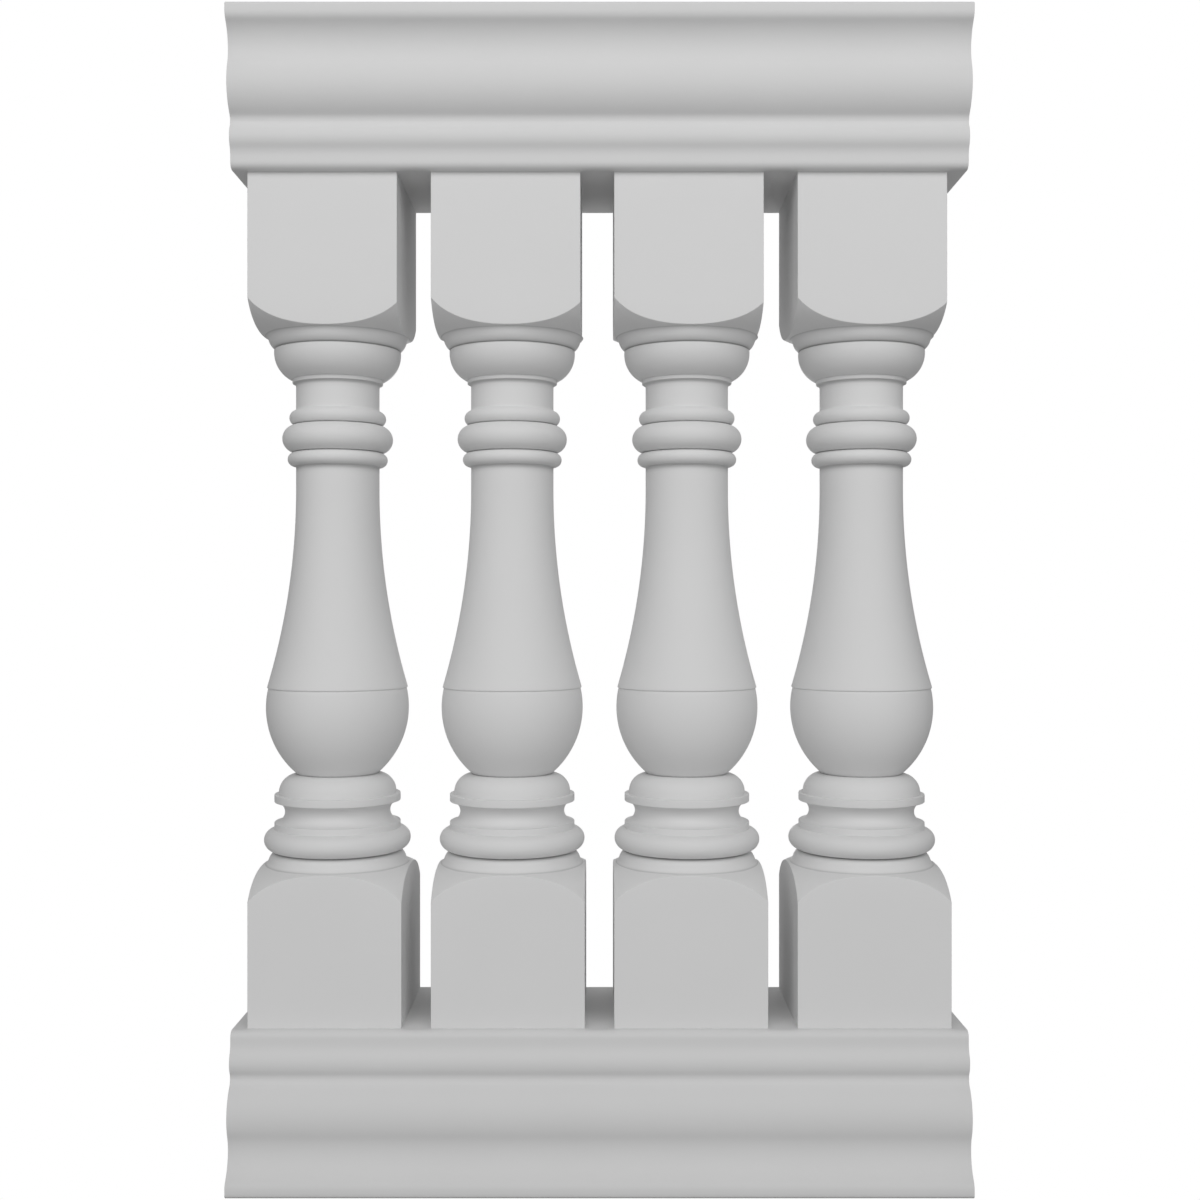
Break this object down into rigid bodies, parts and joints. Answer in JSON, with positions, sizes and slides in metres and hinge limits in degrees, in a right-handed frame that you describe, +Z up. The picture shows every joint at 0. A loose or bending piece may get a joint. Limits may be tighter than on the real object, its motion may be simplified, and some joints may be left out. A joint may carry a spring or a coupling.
{
  "type": "deck railing section",
  "caption": "Balustrade-style deck railing section: moulded top and bottom rails joined by turned vase balusters with square end blocks.",
  "frame": {"origin": "on the floor, under the middle of the bottom rail", "axes": "+X along the rails to the right, +Y through the section to the back, +Z up"},
  "size_m": [0.6096, 0.1824, 0.9735],
  "materials": {
    "rail_moulding": "primed moulded polyurethane, light grey, matte",
    "baluster_moulding": "primed moulded polyurethane, light grey, matte"
  },
  "bodies": {
    "root": {"top_rail_cap": "rail_moulding", "top_rail_bed": "rail_moulding", "bottom_rail_bed": "rail_moulding", "bottom_rail_base": "rail_moulding", "baluster_1_upper_block": "baluster_moulding", "baluster_1_vase": "baluster_moulding", "baluster_1_bulb": "baluster_moulding", "baluster_1_lower_block": "baluster_moulding", "baluster_2_upper_block": "baluster_moulding", "baluster_2_vase": "baluster_moulding", "baluster_2_bulb": "baluster_moulding", "baluster_2_lower_block": "baluster_moulding", "baluster_3_upper_block": "baluster_moulding", "baluster_3_vase": "baluster_moulding", "baluster_3_bulb": "baluster_moulding", "baluster_3_lower_block": "baluster_moulding", "baluster_4_upper_block": "baluster_moulding", "baluster_4_vase": "baluster_moulding", "baluster_4_bulb": "baluster_moulding", "baluster_4_lower_block": "baluster_moulding"}
  },
  "joints": []
}
